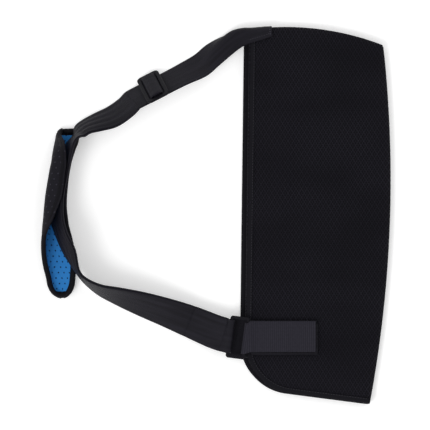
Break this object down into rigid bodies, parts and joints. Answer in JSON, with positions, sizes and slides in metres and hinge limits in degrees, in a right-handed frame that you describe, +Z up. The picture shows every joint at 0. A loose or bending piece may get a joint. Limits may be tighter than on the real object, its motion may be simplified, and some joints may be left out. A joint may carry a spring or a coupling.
{
  "type": "arm sling",
  "caption": "Arm sling with a mesh forearm pouch, doubled webbing neck strap with slider and end buckle, hook-and-loop tab and folding padded neck cover.",
  "frame": {"origin": "centre of the whole object's box, on the surface that it lies on", "axes": "+Z up, +Y along the pouch from the hand end to the elbow end, the pouch opens towards -X"},
  "size_m": [0.415, 0.4465, 0.0502],
  "materials": {
    "mesh": "diamond-pattern spacer mesh, matt",
    "binding": "folded woven tape",
    "webbing": "satin ribbed webbing",
    "thread": "sewing thread",
    "tab_tape": "ribbed hook-and-loop tape",
    "hook": "hook tape",
    "backing": "black brushed backing cloth",
    "loop": "brushed loop tape",
    "buckle_plastic": "fine moulded texture",
    "pad_outer": "perforated foam-backed knit",
    "pad_blue": "perforated soft lining",
    "pad_tape": "folded elastic tape"
  },
  "bodies": {
    "pouch_back": {"back_panel": "mesh", "back_binding": "binding", "strap_elbow_back": "webbing", "strap_elbow_fold": "webbing", "strap_elbow_run": "webbing", "strap_shoulder_run": "webbing", "strap_shoulder_under": "webbing", "strap_neck_run": "webbing", "strap_neck_under": "webbing", "strap_buckle_run": "webbing", "strap_buckle_under": "webbing"},
    "pouch_front": {"front_panel": "mesh", "front_binding": "binding", "strap_elbow_front": "webbing", "elbow_stitching": "thread", "buckle_backing": "backing", "tab_base": "tab_tape", "tab_loop_patch": "loop"},
    "tab": {"tab_flap": "tab_tape", "tab_hook_patch": "hook"},
    "buckle": {"end_buckle": "buckle_plastic", "strap_buckle_wrap": "webbing"},
    "slider": {"slider_frame": "buckle_plastic", "strap_end_wrap": "webbing", "strap_slider_arch": "webbing"},
    "neck_pad": {"pad_shell": "pad_outer", "pad_lining": "pad_blue", "pad_binding": "pad_tape"},
    "pad_flap": {"pad_flap_shell": "pad_outer", "pad_flap_lining": "pad_blue", "pad_flap_binding": "pad_tape"}
  },
  "joints": [
    {"name": "pouch_opening", "type": "hinge", "parent": "pouch_back", "child": "pouch_front", "pos_m": [0.2085, 0, 0.0071], "axis": [0.052, 0.9986, 0], "range_deg": [0, 10]},
    {"name": "tab_peel", "type": "hinge", "parent": "pouch_front", "child": "tab", "pos_m": [0.0366, -0.146, 0.0191], "axis": [-0.1305, -0.9914, 0], "range_deg": [0, 100]},
    {"name": "buckle_swing", "type": "hinge", "parent": "pouch_front", "child": "buckle", "pos_m": [0.0366, -0.146, 0.0191], "axis": [0.1305, 0.9914, 0], "range_deg": [0, 35]},
    {"name": "slider_travel", "type": "slide", "parent": "pouch_back", "child": "slider", "axis": [-0.8903, -0.4553, 0], "range_m": [-0.01, 0.01]},
    {"name": "pad_travel", "type": "slide", "parent": "pouch_back", "child": "neck_pad", "axis": [0, -1, 0], "range_m": [-0.006, 0.006]},
    {"name": "pad_unfolding", "type": "hinge", "parent": "neck_pad", "child": "pad_flap", "pos_m": [-0.205, 0, 0.0025], "axis": [0, -1, 0], "range_deg": [0, 60]}
  ]
}
